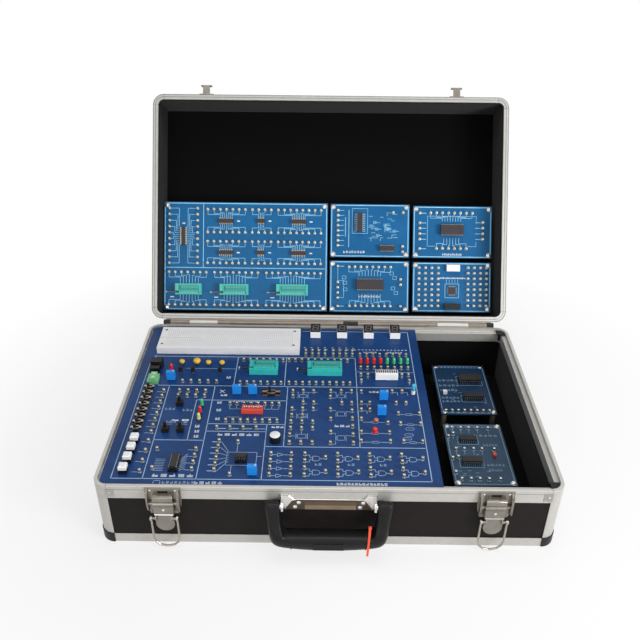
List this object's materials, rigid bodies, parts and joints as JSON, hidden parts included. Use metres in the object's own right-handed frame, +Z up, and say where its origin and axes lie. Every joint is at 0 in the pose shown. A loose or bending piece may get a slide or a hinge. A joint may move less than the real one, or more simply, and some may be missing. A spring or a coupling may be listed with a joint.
{
  "type": "digital logic trainer",
  "caption": "Open aluminium-edged carrying case with a logic training board in its base, small circuit boards in its hinged lid and loose ones in a side pocket.",
  "frame": {"origin": "centre of the underside of the base, where the case rests on a table", "axes": "+X to the right seen from the front, where the handle is, +Y towards the hinged lid, +Z up"},
  "size_m": [0.4618, 0.5262, 0.3395],
  "materials": {
    "aluminium_profile": "satin",
    "black_panel": "black laminate",
    "black_plastic": "moulded",
    "felt": "felt",
    "plated_steel": "nickel plated",
    "bright_steel": "bright",
    "main_circuit_board": "solder mask",
    "lid_circuit_board": "solder mask",
    "pocket_circuit_board": "solder mask",
    "white_plastic": "moulded",
    "display_plastic": "dark face, white sides",
    "lamp_plastic": "translucent",
    "teal_plastic": "moulded",
    "blue_plastic": "moulded",
    "component_plastic": "moulded",
    "gold_pin": "gold plated"
  },
  "bodies": {
    "case": {"base_floor_panel": "black_panel", "base_wall_panels": "black_panel", "base_rim_frame": "aluminium_profile", "base_edge_profiles": "aluminium_profile", "base_corner_caps": "black_plastic", "base_rim_corners": "black_plastic", "base_lining": "felt", "board_supports": "black_plastic", "hinge_lower_leaf": "plated_steel", "hinge_pin": "bright_steel", "latch_plates": "plated_steel", "handle_bracket": "plated_steel", "main_board": "main_circuit_board", "breadboard": "white_plastic", "digit_displays": "display_plastic", "indicator_leds": "lamp_plastic", "zif_sockets": "teal_plastic", "board_components": "component_plastic", "switch_bodies": "component_plastic", "test_pins": "gold_pin", "trimmers": "blue_plastic"},
    "lid": {"lid_top_panel": "black_panel", "lid_wall_panels": "black_panel", "lid_rim_frame": "aluminium_profile", "lid_edge_profiles": "aluminium_profile", "lid_corner_caps": "black_plastic", "lid_lining": "felt", "hinge_upper_leaf": "plated_steel", "latch_keepers": "bright_steel", "lid_boards": "lid_circuit_board", "lid_standoffs": "gold_pin", "lid_board_parts": "component_plastic"},
    "latch_lever_left": {"latch_lever_left": "plated_steel"},
    "latch_lever_right": {"latch_lever_right": "plated_steel"},
    "latch_bail_left": {"latch_bail_left": "bright_steel"},
    "latch_bail_right": {"latch_bail_right": "bright_steel"},
    "carry_handle": {"carry_handle": "black_plastic"},
    "mode_switch_knob": {"mode_switch_knob": "black_plastic"},
    "pocket_module_rear": {"pocket_module_rear": "pocket_circuit_board"},
    "pocket_module_front": {"pocket_module_front": "pocket_circuit_board"},
    "level_button_1": {"level_button_1": "white_plastic"},
    "level_button_2": {"level_button_2": "white_plastic"},
    "level_button_3": {"level_button_3": "white_plastic"},
    "level_button_4": {"level_button_4": "white_plastic"},
    "pulse_button_1": {"pulse_button_1": "black_plastic"},
    "pulse_button_2": {"pulse_button_2": "black_plastic"},
    "pulse_button_3": {"pulse_button_3": "black_plastic"},
    "level_switch_knob_1": {"level_switch_knob_1": "black_plastic"},
    "level_switch_knob_2": {"level_switch_knob_2": "black_plastic"},
    "level_switch_knob_3": {"level_switch_knob_3": "black_plastic"},
    "level_switch_knob_4": {"level_switch_knob_4": "black_plastic"},
    "level_switch_knob_5": {"level_switch_knob_5": "black_plastic"},
    "level_switch_knob_6": {"level_switch_knob_6": "black_plastic"},
    "level_switch_knob_7": {"level_switch_knob_7": "black_plastic"},
    "level_switch_knob_8": {"level_switch_knob_8": "black_plastic"},
    "zif_lever_1": {"zif_lever_1": "bright_steel"},
    "zif_lever_2": {"zif_lever_2": "bright_steel"},
    "lid_zif_lever_1": {"lid_zif_lever_1": "bright_steel"},
    "lid_zif_lever_2": {"lid_zif_lever_2": "bright_steel"},
    "lid_zif_lever_3": {"lid_zif_lever_3": "bright_steel"}
  },
  "joints": [
    {"name": "lid_hinge", "type": "hinge", "parent": "case", "child": "lid", "pos_m": [0, 0.1495, 0.077], "axis": [1, 0, 0], "range_deg": [0, 121]},
    {"name": "latch_lever_left_pivot", "type": "hinge", "parent": "case", "child": "latch_lever_left", "pos_m": [-0.161, -0.1486, 0.058], "axis": [1, 0, 0], "range_deg": [-100, 0]},
    {"name": "latch_bail_left_pivot", "type": "hinge", "parent": "latch_lever_left", "child": "latch_bail_left", "pos_m": [-0.161, -0.1526, 0.042], "axis": [-1, 0, 0], "range_deg": [0, 183]},
    {"name": "latch_lever_right_pivot", "type": "hinge", "parent": "case", "child": "latch_lever_right", "pos_m": [0.162, -0.1486, 0.058], "axis": [1, 0, 0], "range_deg": [-100, 0]},
    {"name": "latch_bail_right_pivot", "type": "hinge", "parent": "latch_lever_right", "child": "latch_bail_right", "pos_m": [0.162, -0.1526, 0.042], "axis": [-1, 0, 0], "range_deg": [0, 183]},
    {"name": "carry_handle_pivot", "type": "hinge", "parent": "case", "child": "carry_handle", "pos_m": [0, -0.153, 0.06], "axis": [-1, 0, 0], "range_deg": [0, 90]},
    {"name": "level_button_1_press", "type": "slide", "parent": "case", "child": "level_button_1", "axis": [0, 0, -1], "range_m": [0, 0.0008], "stiffness_N_per_m": 500},
    {"name": "level_button_2_press", "type": "slide", "parent": "case", "child": "level_button_2", "axis": [0, 0, -1], "range_m": [0, 0.0008], "stiffness_N_per_m": 500},
    {"name": "level_button_3_press", "type": "slide", "parent": "case", "child": "level_button_3", "axis": [0, 0, -1], "range_m": [0, 0.0008], "stiffness_N_per_m": 500},
    {"name": "level_button_4_press", "type": "slide", "parent": "case", "child": "level_button_4", "axis": [0, 0, -1], "range_m": [0, 0.0008], "stiffness_N_per_m": 500},
    {"name": "pulse_button_1_press", "type": "slide", "parent": "case", "child": "pulse_button_1", "axis": [0, 0, -1], "range_m": [0, 0.0005], "stiffness_N_per_m": 500},
    {"name": "pulse_button_2_press", "type": "slide", "parent": "case", "child": "pulse_button_2", "axis": [0, 0, -1], "range_m": [0, 0.0005], "stiffness_N_per_m": 500},
    {"name": "pulse_button_3_press", "type": "slide", "parent": "case", "child": "pulse_button_3", "axis": [0, 0, -1], "range_m": [0, 0.0005], "stiffness_N_per_m": 500},
    {"name": "level_switch_1_slide", "type": "slide", "parent": "case", "child": "level_switch_knob_1", "axis": [1, 0, 0], "range_m": [0, 0.0026]},
    {"name": "level_switch_2_slide", "type": "slide", "parent": "case", "child": "level_switch_knob_2", "axis": [1, 0, 0], "range_m": [0, 0.0026]},
    {"name": "level_switch_3_slide", "type": "slide", "parent": "case", "child": "level_switch_knob_3", "axis": [1, 0, 0], "range_m": [0, 0.0026]},
    {"name": "level_switch_4_slide", "type": "slide", "parent": "case", "child": "level_switch_knob_4", "axis": [1, 0, 0], "range_m": [0, 0.0026]},
    {"name": "level_switch_5_slide", "type": "slide", "parent": "case", "child": "level_switch_knob_5", "axis": [1, 0, 0], "range_m": [0, 0.0026]},
    {"name": "level_switch_6_slide", "type": "slide", "parent": "case", "child": "level_switch_knob_6", "axis": [1, 0, 0], "range_m": [0, 0.0026]},
    {"name": "level_switch_7_slide", "type": "slide", "parent": "case", "child": "level_switch_knob_7", "axis": [1, 0, 0], "range_m": [0, 0.0026]},
    {"name": "level_switch_8_slide", "type": "slide", "parent": "case", "child": "level_switch_knob_8", "axis": [1, 0, 0], "range_m": [0, 0.0026]},
    {"name": "mode_switch_slide", "type": "slide", "parent": "case", "child": "mode_switch_knob", "axis": [1, 0, 0], "range_m": [0, 0.004]},
    {"name": "zif_lever_1_pivot", "type": "hinge", "parent": "case", "child": "zif_lever_1", "pos_m": [-0.09105, 0.04315, 0.082], "axis": [0, -1, 0], "range_deg": [-85, 0]},
    {"name": "zif_lever_2_pivot", "type": "hinge", "parent": "case", "child": "zif_lever_2", "pos_m": [-0.02275, 0.04235, 0.082], "axis": [0, -1, 0], "range_deg": [-85, 0]},
    {"name": "lid_zif_lever_1_pivot", "type": "hinge", "parent": "lid", "child": "lid_zif_lever_1", "pos_m": [-0.20195, 0.19014, 0.09901], "axis": [0, -0.515, -0.8572], "range_deg": [-85, 0]},
    {"name": "lid_zif_lever_2_pivot", "type": "hinge", "parent": "lid", "child": "lid_zif_lever_2", "pos_m": [-0.1428, 0.19014, 0.09901], "axis": [0, -0.515, -0.8572], "range_deg": [-85, 0]},
    {"name": "lid_zif_lever_3_pivot", "type": "hinge", "parent": "lid", "child": "lid_zif_lever_3", "pos_m": [-0.0676, 0.19024, 0.09918], "axis": [0, -0.515, -0.8572], "range_deg": [-85, 0]},
    {"name": "pocket_module_rear_lift", "type": "slide", "parent": "case", "child": "pocket_module_rear", "axis": [0, 0, -1], "range_m": [-0.08, 0]},
    {"name": "pocket_module_front_lift", "type": "slide", "parent": "case", "child": "pocket_module_front", "axis": [0, 0, -1], "range_m": [-0.08, 0]}
  ]
}
